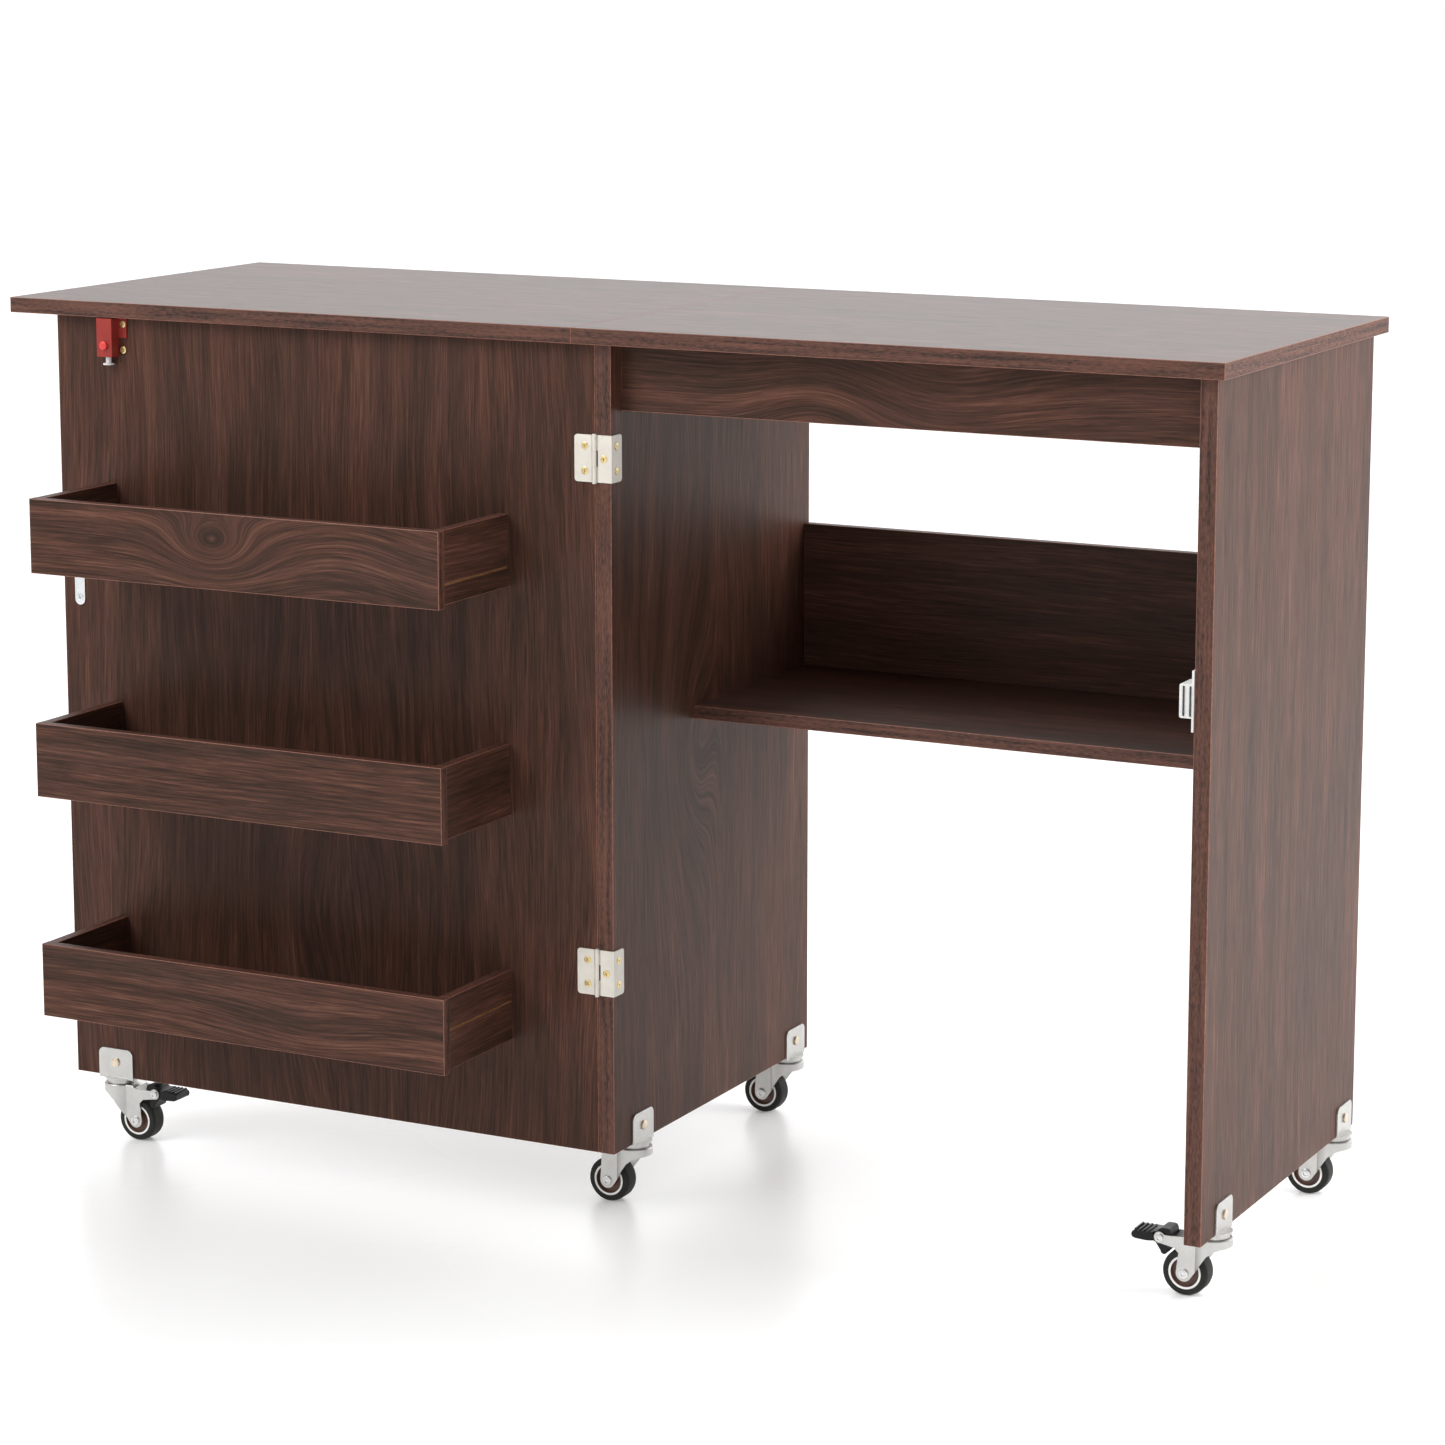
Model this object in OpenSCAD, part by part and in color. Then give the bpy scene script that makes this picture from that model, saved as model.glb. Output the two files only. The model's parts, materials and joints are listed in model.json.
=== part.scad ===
// Folding sewing table on casters: a fixed half with a shelf, and a leaf held up by a gate
// panel that carries three storage bins. X runs along the top, Y from front to back.
// The origin is under the middle of the whole table, at the floor.

/* [Top] */
// Length of the whole top, both halves
top_l = 1180; // [1120:10:1240]
// Depth of the top from its front edge to its back edge
top_d = 409; // [390:1:430]
// Thickness of the top
top_t = 14; // [13:0.5:18]
// Height of the top surface above the floor
table_h = 790; // [770:5:820]
// Overhang of the top past the panels' front edges
front_over = 11.5; // [8:0.5:16]
// Overhang of the top past the panels' back edges
back_over = 11.5; // [8:0.5:16]
// Overhang of the top past the leg panel's outer face
side_over = 9.5; // [9:0.5:14]

/* [Panels] */
// Thickness of the panels and the apron
board_t = 15; // [15:0.5:16]
// Distance from the seam in the top to the middle panel
mid_in = 17; // [16:1:30]
// Height of the apron under the top
apron_h = 59; // [50:1:90]
// Distance of the apron behind the panels' front edges
apron_in = 19; // [16:1:60]
// Height of the shelf's surface
shelf_h = 436; // [400:2:470]
// Thickness of the shelf
shelf_t = 12; // [12:0.5:15]
// Distance of the shelf behind the panels' front edges
shelf_in = 152; // [140:2:200]
// Height of the rail above the shelf's surface
rail_h = 135; // [100:5:160]
// Thickness of the rail behind the shelf
rail_t = 10; // [10:0.5:12]

/* [Bins] */
// Length of each bin
bin_l = 425; // [380:5:430]
// Distance of the bins' fronts from the gate's face
bin_reach = 118; // [90:1:120]
// Height of the bins' front boards
bin_h = 67.5; // [60:0.5:80]
// Thickness of the bins' boards
bin_t = 10; // [9:0.5:12]
// Height of the lower bin's front board above the floor
bin_low = 148; // [140:2:170]
// Distance from one bin up to the next
bin_pitch = 204; // [190:2:210]
// Distance of the bins from the gate's free edge
bin_in = 51; // [50:1:60]

/* [Casters] */
// Diameter of the wheels
wheel_d = 40; // [38:0.5:40]
// Width of the wheels
wheel_w = 17; // [15:0.5:17]
// Distance of the axle behind the swivel axis
trail = 22; // [21:0.5:23]
// Distance from the floor to the panels' bottom edges
caster_h = 59; // [59:0.5:62]

/* [Hardware] */
// Height of the gate hinges
hinge_h = 41; // [36:1:50]
// Height of the lower hinge's middle
hinge_low = 223; // [200:1:260]
// Height of the upper hinge's middle
hinge_high = 677; // [600:1:680]
// Travel of the latch bolt
bolt_travel = 5.5; // [3:0.5:5.5]

/* [Hidden] */
CASTER_PARTS = ["fork", "axle", "hub", "tyre"];

walnut = [0.29, 0.2, 0.16];
walnut_dark = [0.24, 0.165, 0.13];
zinc = [0.8, 0.8, 0.79];
cream_metal = [0.87, 0.84, 0.77];
brass = [0.76, 0.6, 0.26];
fit = 0.05;        // clearance round pins, dowels and screws
play = 0.2;        // gap between flat faces that slide past each other
$fn = 48;

// The table in plan
deep = top_d - front_over + bin_reach;
y_back = deep / 2;
y_top = y_back - top_d;
y_face = y_top + front_over;
y_rear = y_back - back_over;
z_under = table_h - top_t;
x_end = top_l / 2;
seam = 0.2;        // each half stands this far back from the middle of the seam

// The fixed half
x_mid = mid_in;
x_bay = x_mid + board_t;
x_leg = x_end - side_over - board_t;
y_shelf = y_face + shelf_in;
y_apron = y_face + apron_in;

// The gate and its hinges. The axis stands in front of the boards, so that the leaves clear.
x_axis = x_mid - 0.25;
y_axis = y_face - 2;
gate_w = x_leg + board_t - x_mid - 1;
x_gate_r = x_mid - 0.5;
x_gate = x_gate_r - gate_w;
z_gate = z_under - 1;
leaf_t = 1.2;      // hinge leaf
knuckle_r = 1.9;
hinge_pin_r = 1;
leaf_edge = 3;     // a leaf's edge stands this far from the axis
knuckle_over = 1;  // the end knuckles stand this far past the leaves
root_t = 0.6;      // the strip between a leaf and its knuckle
gate_leaf_w = 17;
flange_w = 17;     // the part of the frame leaf that wraps round the panel
HINGE_Z = [hinge_low, hinge_high];
screw_step = 10.75;

// Screws
screw_r = 1.4;
screw_head_r = 3.3;
screw_l = 12;
screw_proud = 0.3;
gate_leaf_screw_x = x_axis - 9.8;
edge_screw_x = x_mid + 8.6;
flange_screw_y = y_face + 7.3;

// The two halves of the top are joined by barrel hinges sunk in the seam
barrel_r = 5;
barrel_l = 12;
barrel_slot = 2.6;
BARREL_Y = [y_top + 75, y_back - 75];
dowel_r = 4;
dowel_l = 30;
DOWEL_Y = [y_face + 40, (y_face + y_rear) / 2, y_rear - 40];

// Cam fittings: [joint plane, way into the board, y, z, way that the cam faces]
cam_r = 7.5;
cam_t = 9;
cam_in = 24;
cam_bolt_r = 3;
cam_bolt_l = 11;
CAMS = concat(
    [for (end = [0, 1]) [end ? x_leg : x_bay, end ? -1 : 1, y_apron + board_t / 2,
        z_under - apron_h / 2, "back"]],
    [for (end = [0, 1]) [end ? x_leg : x_bay, end ? -1 : 1, y_rear - rail_t / 2,
        shelf_h + rail_h * 0.7, "back"]],
    [for (end = [0, 1], y = [y_shelf + 40, y_rear - 50]) [end ? x_leg : x_bay, end ? -1 : 1,
        y, shelf_h - shelf_t / 2, "down"]]);

// Magnetic catch and its strike plate
catch_z = 514.5;
catch_w = 12.4;
catch_h = 28.3;
catch_d = 21;
catch_flange_h = 50.5;
catch_flange_t = 1.8;
catch_out = 1.2;   // the case stands this far in front of the leg's edge
pole_out = 2.3;
pole_t = 1.2;
pole_h = 24.5;
POLE_X = [x_leg - 8.7, x_leg - 2.9];
catch_screw_y = y_face + 8;
CATCH_SCREW_Z = [catch_z - 20.7, catch_z + 20.7];
strike_x = x_gate + 18.2;
strike_w = 11;
strike_low = 507;
strike_high = 547;
STRIKE_SCREW_Z = [strike_low + 7, strike_high - 7];

// Spring latch at the gate's free top corner
latch_x = x_gate + 60.5;
latch_w = 16.4;
latch_d = 12;
latch_low = 740;
latch_high = z_gate;
latch_flange_l = 9;
latch_flange_low = 757;
latch_flange_t = 1.5;
latch_screw_x = latch_x + latch_w / 2 + 5;
LATCH_SCREW_Z = [latch_flange_low - 11, latch_flange_low + 12.5];
bolt_y = y_face - 5.5;
bolt_r = 2.6;
bolt_collar_r = 3.9;
bolt_collar_z = 756;
bolt_collar_t = 2;
knob_r = 5.2;
knob_t = 1.6;
knob_stem = 6;
chamber_r = 4.4;
chamber_low = 748;
chamber_high = 771;
button_r = 3.9;
button_z = 750.6;
button_out = 2.6;
button_in = 2.1;
spring_r = 3.55;
spring_wire = 0.7;
spring_turns = 5;

// Bins, from the lowest up
BIN_Z = [for (n = [0:2]) bin_low + n * bin_pitch];
bin_x = x_gate + bin_in;
y_bin = y_face - bin_reach;
bin_side_up = 3;   // the sides and bottom stand this far above the front board's lower edge
bin_bottom_t = 9;
side_gap = 0.6;    // the sides stand this far inside the front board's ends
groove_h = 1;
groove_d = 2;
GROOVE_UP = [35, 0, 17];
bin_screw_r = 1.75;
bin_screw_l = 38;
bin_screw_head_r = 3.6;
bin_screw_head_t = 2.2;
BIN_SCREW_UP = [20, 50];

// Casters: [swivel axis x, y, way that the tab faces, way that the wheel trails, has a brake]
front_in = 51;
back_in = 28.5;
x_mid_axis = x_mid + board_t / 2;
x_leg_axis = x_leg + board_t / 2;
CASTERS = [
    [x_gate + 45, y_face + board_t / 2, -90, 0, true],
    [x_mid_axis, y_face + front_in, 0, 180, false],
    [x_mid_axis, y_rear - back_in, 0, 180, false],
    [x_leg_axis, y_face + front_in, 0, 180, true],
    [x_leg_axis, y_rear - back_in, 0, 180, false]];
plate_t = 1.8;
tab_w = 38;
tab_h = 29;
tab_r = 6;
tab_bolt_up = 14;
tab_bolt_r = 2.5;
tab_bolt_head_r = 4.3;
tab_bolt_head_t = 1.6;
tab_bolt_l = 11;
axle_z = wheel_d / 2;
fork_r = 16.2;
fork_z = caster_h - 6;
fork_t = 1.6;
fork_half = 10.8;  // half the distance over the fork's cheeks
skirt_z = fork_z - 7;
leg_r = 7;
cheek_x = 27;
cup_r = 13.5;
kingpin_r = 4;
kingpin_head_r = 6.5;
axle_r = 3;
axle_head_r = 4.2;
axle_head_t = 1.3;
rim_r = wheel_d / 2 - 5.6;
rim_t = 1.9;
boss_r = 6.5;
pedal_x = 44;
pedal_z = 48;
pedal_eye_r = 5;
arm_top = 50.8;    // the fork's arms lie lower than the eyes at their ends
pedal_half = 8.9;
paddle_half = 10.5;
pedal_pin_r = 1.9;

// A board or block between two opposite corners
module block(low, high) {
    translate(low) cube(high - low);
}

// A pin along X, from one x to another
module pin_x(x0, x1, y, z, r) {
    translate([min(x0, x1), y, z]) rotate([0, 90, 0]) cylinder(r = r, h = abs(x1 - x0));
}

// A pin along Y, from one y to another
module pin_y(x, y0, y1, z, r) {
    translate([x, max(y0, y1), z]) rotate([90, 0, 0]) cylinder(r = r, h = abs(y1 - y0));
}

// A rectangle with all four corners rounded
module rounded(size, r) {
    translate([r, 0]) square([size.x - 2 * r, size.y]);
    translate([0, r]) square([size.x, size.y - 2 * r]);
    for (x = [r, size.x - r], y = [r, size.y - r]) translate([x, y]) circle(r = r);
}

// Screws that face the front. Their heads sit in a plate of thickness seat.
module screws_front(x, zs, seat, extra = 0) {
    for (z = zs) {
        pin_y(x, y_face - seat - screw_proud, y_face, z, screw_head_r + extra);
        pin_y(x, y_face, y_face + screw_l, z, screw_r + extra);
    }
}

// Screws that face along X from the face x. side is the way they face.
module screws_side(x, y, zs, side, seat, extra = 0) {
    for (z = zs) {
        pin_x(x, x + side * (seat + screw_proud), y, z, screw_head_r + extra);
        pin_x(x - side * screw_l, x, y, z, screw_r + extra);
    }
}

function hinge_flange_z() = [for (z = HINGE_Z, s = [-1, 1]) z + s * screw_step];

module all_frame_screws(extra = 0) {
    screws_front(edge_screw_x, HINGE_Z, leaf_t, extra);
    screws_side(x_bay, flange_screw_y, hinge_flange_z(), 1, leaf_t, extra);
    screws_side(x_leg, catch_screw_y, CATCH_SCREW_Z, -1, catch_flange_t, extra);
}

module all_gate_screws(extra = 0) {
    screws_front(gate_leaf_screw_x, hinge_flange_z(), leaf_t, extra);
    screws_front(strike_x, STRIKE_SCREW_Z, leaf_t, extra);
    screws_front(latch_screw_x, LATCH_SCREW_Z, latch_flange_t, extra);
}

module all_dowels(extra = 0) {
    for (x = [x_mid_axis, x_leg_axis], y = DOWEL_Y)
        translate([x, y, z_under - dowel_l + 9]) cylinder(r = dowel_r + extra, h = dowel_l);
}

// One cam and its bolt, with the joint plane at x = 0 and the cam's board on the +X side
module cam_fitting(faces, face_out, extra = 0) {
    pin_x(-cam_bolt_l, cam_in - cam_r - fit, 0, 0, cam_bolt_r + extra);
    if (faces == "down")
        translate([cam_in, 0, -face_out]) cylinder(r = cam_r + extra, h = cam_t);
    else
        translate([cam_in, face_out, 0]) rotate([90, 0, 0]) cylinder(r = cam_r + extra, h = cam_t);
}

module all_cams(extra = 0) {
    for (c = CAMS)
        translate([c[0], c[2], c[3]])
            scale([c[1], 1, 1])
                cam_fitting(c[4], c[4] == "down" ? shelf_t / 2
                    : c[2] > 0 ? rail_t / 2 : board_t / 2, extra);
}

// Screws through the gate into the bins' sides
module all_bin_screws(extra = 0) {
    for (z = BIN_Z, x = [bin_x + side_gap + bin_t / 2, bin_x + bin_l - side_gap - bin_t / 2],
         up = BIN_SCREW_UP) {
        pin_y(x, y_face + board_t - bin_screw_l, y_face + board_t, z + up, bin_screw_r + extra);
        pin_y(x, y_face + board_t - bin_screw_head_t, y_face + board_t + screw_proud, z + up,
            bin_screw_head_r + extra);
    }
}

// ---- Top ----

module barrels(side, extra = 0) {
    for (y = BARREL_Y)
        pin_x(side * seam, side * (seam + barrel_l + extra), y, table_h - top_t / 2,
            barrel_r + extra);
}

module slotted_barrels(side) {
    difference() {
        barrels(side);
        for (y = BARREL_Y)
            translate([side * (seam + barrel_l / 2), y, table_h - top_t / 2 + barrel_r / 2])
                cube([barrel_l + 1, barrel_slot, barrel_r + 0.1], center = true);
    }
}

module fixed_top() {
    color(walnut) difference() {
        block([seam, y_top, z_under], [x_end, y_back, table_h]);
        barrels(1, fit);
        all_dowels(fit);
    }
}

module flip_leaf() {
    color(walnut) difference() {
        block([-x_end, y_top, z_under], [-seam, y_back, table_h]);
        barrels(-1, fit);
        translate([latch_x, bolt_y, z_under - 1]) cylinder(r = bolt_r + 0.5, h = bolt_travel + 2.5);
    }
}

module top_hinge_barrels() {
    color(brass) slotted_barrels(1);
}

module leaf_hinge_barrels() {
    color(brass) slotted_barrels(-1);
}

module top_dowels() {
    color([0.8, 0.66, 0.45]) all_dowels();
}

// ---- Fixed half ----

// Holes for the bolts that hold the casters' tabs
module frame_bolt_holes() {
    for (n = [1:4]) at_caster(n) caster_bolt(fit);
}

module mid_panel() {
    color(walnut) difference() {
        block([x_mid, y_face, caster_h], [x_bay, y_rear, z_under]);
        all_frame_screws(fit);
        all_dowels(fit);
        all_cams(fit);
        frame_bolt_holes();
    }
}

module leg_panel() {
    color(walnut) difference() {
        block([x_leg, y_face, caster_h], [x_leg + board_t, y_rear, z_under]);
        all_frame_screws(fit);
        all_dowels(fit);
        all_cams(fit);
        frame_bolt_holes();
    }
}

module apron() {
    color(walnut) difference() {
        block([x_bay, y_apron, z_under - apron_h], [x_leg, y_apron + board_t, z_under]);
        all_cams(fit);
    }
}

module shelf() {
    color(walnut) difference() {
        block([x_bay, y_shelf, shelf_h - shelf_t], [x_leg, y_rear - rail_t, shelf_h]);
        all_cams(fit);
    }
}

module shelf_rail() {
    color(walnut) difference() {
        block([x_bay, y_rear - rail_t, shelf_h - shelf_t], [x_leg, y_rear, shelf_h + rail_h]);
        all_cams(fit);
    }
}

module cam_fittings() {
    color(zinc) all_cams();
}

// ---- Magnetic catch ----

module catch_case() {
    y0 = y_face - catch_out;
    color([0.94, 0.94, 0.93]) difference() {
        union() {
            block([x_leg - catch_w, y0, catch_z - catch_h / 2],
                  [x_leg, y0 + catch_d, catch_z + catch_h / 2]);
            block([x_leg - catch_flange_t, y0, catch_z - catch_flange_h / 2],
                  [x_leg, y0 + catch_d * 0.8, catch_z + catch_flange_h / 2]);
        }
        pole_solids(fit);
        all_frame_screws(fit);
    }
}

module pole_solids(extra = 0) {
    for (x = POLE_X)
        block([x - pole_t / 2 - extra, y_face - pole_out, catch_z - pole_h / 2 - extra],
              [x + pole_t / 2 + extra, y_face + 16 + extra, catch_z + pole_h / 2 + extra]);
}

module catch_poles() {
    color([0.35, 0.35, 0.36]) pole_solids();
}

module strike_plate() {
    color(zinc) difference() {
        translate([strike_x - strike_w / 2, y_face, strike_low])
            rotate([90, 0, 0]) linear_extrude(leaf_t)
                rounded([strike_w, strike_high - strike_low], strike_w / 2 - 0.01);
        all_gate_screws(fit);
    }
}

// ---- Gate hinges ----

// A knuckle from one height to another above the hinge's lower end
module knuckle(z0, z1) {
    translate([x_axis, y_axis, z0]) cylinder(r = knuckle_r, h = z1 - z0);
}

// The strip that joins a leaf to its knuckle. way is the side that the leaf lies on.
module leaf_root(way, z0, z1) {
    block([way > 0 ? x_axis + 0.3 : x_axis - leaf_edge - 0.1, y_face - root_t, z0],
          [way > 0 ? x_axis + leaf_edge + 0.1 : x_axis - 0.3, y_face - 0.05, z1]);
}

module frame_hinge_leaves() {
    third = hinge_h / 3;
    color(cream_metal) difference() {
        for (z = HINGE_Z) translate([0, 0, z - hinge_h / 2]) {
            block([x_axis + leaf_edge, y_face - leaf_t, 0], [x_bay + leaf_t, y_face, hinge_h]);
            translate([x_bay, y_face - leaf_t, 0]) rotate([90, 0, 90]) linear_extrude(leaf_t)
                rounded([flange_w + leaf_t, hinge_h], 3);
            block([x_bay, y_face - leaf_t, 0], [x_bay + leaf_t, y_face + 4, hinge_h]);
            knuckle(-knuckle_over, third - play / 2);
            knuckle(2 * third, hinge_h + knuckle_over);
            leaf_root(1, 0, third - play / 2);
            leaf_root(1, 2 * third, hinge_h);
        }
        all_frame_screws(fit);
        all_hinge_pins(fit);
    }
}

module gate_hinge_leaves() {
    third = hinge_h / 3;
    color(cream_metal) difference() {
        for (z = HINGE_Z) translate([0, 0, z - hinge_h / 2]) {
            translate([x_axis - leaf_edge - gate_leaf_w, y_face, 0])
                rotate([90, 0, 0]) linear_extrude(leaf_t) {
                    rounded([gate_leaf_w, hinge_h], 3);
                    translate([gate_leaf_w / 2, 0]) square([gate_leaf_w / 2, hinge_h]);
                }
            knuckle(third + play / 2, 2 * third - play);
            leaf_root(-1, third + play / 2, 2 * third - play);
        }
        all_gate_screws(fit);
        all_hinge_pins(fit);
    }
}

module all_hinge_pins(extra = 0) {
    for (z = HINGE_Z)
        translate([x_axis, y_axis, z - hinge_h / 2 - knuckle_over])
            cylinder(r = hinge_pin_r + extra, h = hinge_h + 2 * knuckle_over);
}

module hinge_pins() {
    color(cream_metal) all_hinge_pins();
}

module frame_screws() {
    color(brass) all_frame_screws();
}

module gate_screws() {
    color(brass) all_gate_screws();
}

// ---- Gate and bins ----

module gate_panel() {
    color(walnut) difference() {
        block([x_gate, y_face, caster_h], [x_gate_r, y_face + board_t, z_gate]);
        all_gate_screws(fit);
        all_bin_screws(fit);
        at_caster(0) caster_bolt(fit);
    }
}

module bin_front(n) {
    color(walnut) block([bin_x, y_bin, BIN_Z[n]], [bin_x + bin_l, y_bin + bin_t, BIN_Z[n] + bin_h]);
}

module bin_sides(n) {
    z0 = BIN_Z[n] + bin_side_up;
    right = bin_x + bin_l - side_gap;
    color(walnut_dark) difference() {
        union() {
            block([bin_x + side_gap, y_bin + bin_t, z0],
                  [bin_x + side_gap + bin_t, y_face, BIN_Z[n] + bin_h]);
            block([right - bin_t, y_bin + bin_t, z0], [right, y_face, BIN_Z[n] + bin_h]);
        }
        if (GROOVE_UP[n] > 0)
            block([right - groove_d, y_bin, z0 + GROOVE_UP[n]],
                  [right + 1, y_face + 1, z0 + GROOVE_UP[n] + groove_h]);
        all_bin_screws(fit);
    }
}

module bin_bottom(n) {
    z0 = BIN_Z[n] + bin_side_up;
    color(walnut_dark) block([bin_x + side_gap + bin_t, y_bin + bin_t, z0],
        [bin_x + bin_l - side_gap - bin_t, y_face, z0 + bin_bottom_t]);
}

module bin_screws() {
    color(zinc) all_bin_screws();
}

// ---- Latch ----

module latch_case() {
    x0 = latch_x - latch_w / 2;
    color([0.62, 0.24, 0.22]) difference() {
        union() {
            block([x0, y_face - latch_d, latch_low], [x0 + latch_w, y_face, latch_high]);
            block([x0, y_face - latch_flange_t, latch_flange_low],
                  [x0 + latch_w + latch_flange_l, y_face, latch_high]);
        }
        translate([latch_x, bolt_y, latch_low - 1]) cylinder(r = bolt_r + fit, h = 60);
        translate([latch_x, bolt_y, chamber_low])
            cylinder(r = chamber_r, h = chamber_high - chamber_low);
        pin_y(latch_x, y_face - latch_d - 1, bolt_y, button_z, button_r + fit);
        all_gate_screws(fit);
    }
}

module latch_bolt() {
    color([0.93, 0.93, 0.92]) translate([latch_x, bolt_y, 0]) {
        translate([0, 0, latch_low - knob_stem - 1])
            cylinder(r = bolt_r, h = latch_high - latch_low + knob_stem);
        translate([0, 0, latch_low - knob_stem - knob_t]) cylinder(r = knob_r, h = knob_t);
        translate([0, 0, bolt_collar_z]) cylinder(r = bolt_collar_r, h = bolt_collar_t);
    }
}

// A coil spring round Z. Its rings have few sides, as the wire is thin.
module coil(z0, z1, r, wire, turns) {
    sides = 6;
    per_turn = 10;
    steps = per_turn * turns;
    points = [for (i = [0:steps], j = [0:sides - 1])
        let (a = 360 * i / per_turn, b = 360 * j / sides, out = r + wire / 2 * cos(b))
            [out * cos(a), out * sin(a), z0 + (z1 - z0) * i / steps + wire / 2 * sin(b)]];
    walls = [for (i = [0:steps - 1], j = [0:sides - 1]) let (k = (j + 1) % sides)
        [i * sides + j, (i + 1) * sides + j, (i + 1) * sides + k, i * sides + k]];
    ends = [[for (j = [sides - 1:-1:0]) steps * sides + j], [for (j = [0:sides - 1]) j]];
    polyhedron(points = points, faces = concat(walls, ends), convexity = 10);
}

module latch_spring() {
    color(zinc) translate([latch_x, bolt_y, 0])
        coil(bolt_collar_z + bolt_collar_t + spring_wire, chamber_high - spring_wire,
            spring_r, spring_wire, spring_turns);
}

module latch_button() {
    y0 = y_face - latch_d;
    color([0.86, 0.26, 0.25])
        pin_y(latch_x, y0 - button_out, y0 + button_in, button_z, button_r);
}

// ---- Casters ----

// Places a caster's fixed parts, turned to the face that its tab lies on
module at_caster(n) {
    translate([CASTERS[n][0], CASTERS[n][1], 0]) rotate(CASTERS[n][2]) children();
}

// Places a caster's swivelling parts, with +X the way that the wheel trails
module at_wheel(n) {
    translate([CASTERS[n][0], CASTERS[n][1], 0]) rotate(CASTERS[n][3]) children();
}

module tab_outline() {
    translate([-tab_w / 2, 0]) square([tab_w, tab_h - tab_r]);
    translate([-tab_w / 2 + tab_r, 0]) square([tab_w - 2 * tab_r, tab_h]);
    for (s = [-1, 1]) translate([s * (tab_w / 2 - tab_r), tab_h - tab_r]) circle(r = tab_r);
}

// Tab, plate under the panel, bearing cup and kingpin
module caster_plate() {
    z0 = caster_h - plate_t;
    z_pin = fork_z - fork_t - play;
    color(zinc) difference() {
        union() {
            translate([board_t / 2, 0, z0]) rotate([90, 0, 90]) linear_extrude(plate_t)
                tab_outline();
            translate([0, 0, z0]) linear_extrude(plate_t) {
                circle(r = fork_r - 0.4);
                translate([0, -tab_w / 2]) square([board_t / 2, tab_w]);
            }
            translate([0, 0, fork_z + play]) cylinder(r = cup_r, h = z0 - fork_z - play);
            translate([0, 0, z_pin - 2]) cylinder(r = kingpin_r, h = z0 - z_pin + 2);
            translate([0, 0, z_pin - 2]) cylinder(r = kingpin_head_r, h = 2);
        }
        caster_bolt(fit);
    }
}

module caster_bolt(extra = 0) {
    z = caster_h + tab_bolt_up;
    face = board_t / 2 + plate_t;
    pin_x(face, face + tab_bolt_head_t, 0, z, tab_bolt_head_r + extra);
    pin_x(face - tab_bolt_l, face, 0, z, tab_bolt_r + extra);
}

module frame_caster_plates() {
    for (n = [1:4]) at_caster(n) caster_plate();
}

module frame_caster_bolts() {
    color(cream_metal) for (n = [1:4]) at_caster(n) caster_bolt();
}

module gate_caster_plate() {
    at_caster(0) caster_plate();
}

module gate_caster_bolt() {
    color(cream_metal) at_caster(0) caster_bolt();
}

// The fork seen from above, drawn in by inset
module fork_plan(inset) {
    circle(r = fork_r - inset);
    translate([0, -fork_half + inset]) square([60, 2 * (fork_half - inset)]);
}

// Points along an arc round [x, z], from one angle to another
function arc(x, z, r, from, to) =
    [for (i = [0:12]) let (a = from + (to - from) * i / 12) [x + r * cos(a), z + r * sin(a)]];

// The fork seen from the side, with an arm out to the pedal where it has a brake
module fork_outline(braked) {
    polygon(concat(
        [[-fork_r, skirt_z], [-fork_r, fork_z]],
        braked
            ? concat([[cheek_x - 7, fork_z], [cheek_x - 4.5, arm_top], [pedal_x - 7, arm_top]],
                arc(pedal_x, pedal_z, pedal_eye_r, 145, -100),
                [[cheek_x + 4, pedal_z - 7], [cheek_x, pedal_z - 11]])
            : [[cheek_x, fork_z]],
        arc(trail, axle_z, leg_r, 5, -150),
        [[1, fork_z - 14.5], [-5, fork_z - 9.5], [-10, skirt_z - 0.8]]));
}

// One pressed steel shell: a capped ring with two cheeks
module fork(braked) {
    color(zinc) difference() {
        intersection() {
            difference() {
                linear_extrude(fork_z) fork_plan(0);
                translate([0, 0, -1]) linear_extrude(fork_z - fork_t + 1) fork_plan(fork_t);
                translate([cheek_x, -fork_half + fork_t, 0])
                    cube([40, 2 * (fork_half - fork_t), fork_z + 1]);
            }
            rotate([90, 0, 0]) linear_extrude(2 * fork_r, center = true) fork_outline(braked);
        }
        translate([0, 0, fork_z - 5]) cylinder(r = kingpin_r + fit, h = 10);
        axle_solid(fit);
        if (braked) pedal_pin(fit);
    }
}

module axle_solid(extra = 0) {
    pin_y(trail, -fork_half - 0.5, fork_half + 0.5, axle_z, axle_r + extra);
}

module pedal_pin(extra = 0) {
    pin_y(pedal_x, -fork_half - 0.5, fork_half + 0.5, pedal_z, pedal_pin_r + extra);
}

// Riveted heads outside the fork's cheeks
module rivet_heads(x, z, r) {
    for (s = [-1, 1]) pin_y(x, s * fork_half, s * (fork_half + axle_head_t), z, r);
}

module axle(braked) {
    color([0.86, 0.86, 0.85]) {
        axle_solid();
        rivet_heads(trail, axle_z, axle_head_r);
        if (braked) {
            pedal_pin();
            rivet_heads(pedal_x, pedal_z, 3.4);
        }
    }
}

// A ring round the axle from an outline of [radius, distance along the axle]
module turned(outline) {
    translate([trail, 0, axle_z]) rotate([90, 0, 0]) rotate_extrude($fn = 96) polygon(outline);
}

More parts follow.
